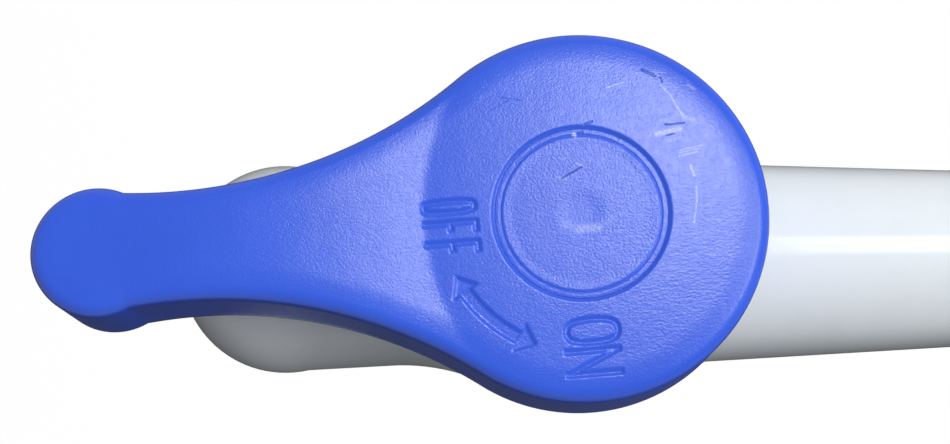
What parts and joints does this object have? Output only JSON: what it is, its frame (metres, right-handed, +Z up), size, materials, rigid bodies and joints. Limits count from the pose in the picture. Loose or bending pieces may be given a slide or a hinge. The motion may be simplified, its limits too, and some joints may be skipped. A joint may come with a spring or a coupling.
{
  "type": "dual outlet tap",
  "caption": "Plastic lever tap with a quarter-turn ball valve, a turned-down spout with an aerator and a hose tail underneath.",
  "frame": {"origin": "centre of the inlet thread's shoulder, where the wrench collar meets the wall", "axes": "+X out of the inlet thread into the wall, +Z up along the spindle towards the lever, the spout is at -X"},
  "size_m": [0.1514, 0.046, 0.0904],
  "materials": {
    "white_plastic": "glossy moulded plastic, cold white",
    "blue_plastic": "satin moulded plastic with a fine spark-eroded grain",
    "natural_plastic": "uncoloured moulded acetal",
    "ball_plastic": "smooth hard plastic ball",
    "seat_plastic": "soft white seat plastic",
    "black_rubber": "black seal rubber",
    "steel": "stainless steel"
  },
  "bodies": {
    "tap": {"tap_body": "white_plastic", "inlet_barrel": "white_plastic", "barrel_oring": "black_rubber", "seat_carrier": "natural_plastic", "inlet_seat": "seat_plastic", "spout_seat": "seat_plastic", "lower_seat": "seat_plastic", "thrust_washer": "seat_plastic", "gland_nut": "white_plastic", "aerator_ring": "white_plastic", "aerator_washer": "black_rubber", "aerator_mesh": "steel", "aerator_insert": "natural_plastic", "hose_washer": "black_rubber", "hose_tail": "white_plastic", "hose_nut": "white_plastic"},
    "handle": {"lever": "blue_plastic", "lever_cap": "blue_plastic", "lever_screw": "steel", "screw_washer": "steel", "stem": "natural_plastic", "stem_oring_lower": "black_rubber", "stem_oring_upper": "black_rubber", "ball": "ball_plastic"}
  },
  "joints": [
    {"name": "lever_turn", "type": "hinge", "parent": "tap", "child": "handle", "pos_m": [-0.07, 0, 0], "axis": [0, 0, 1], "range_deg": [-4, 86]}
  ]
}
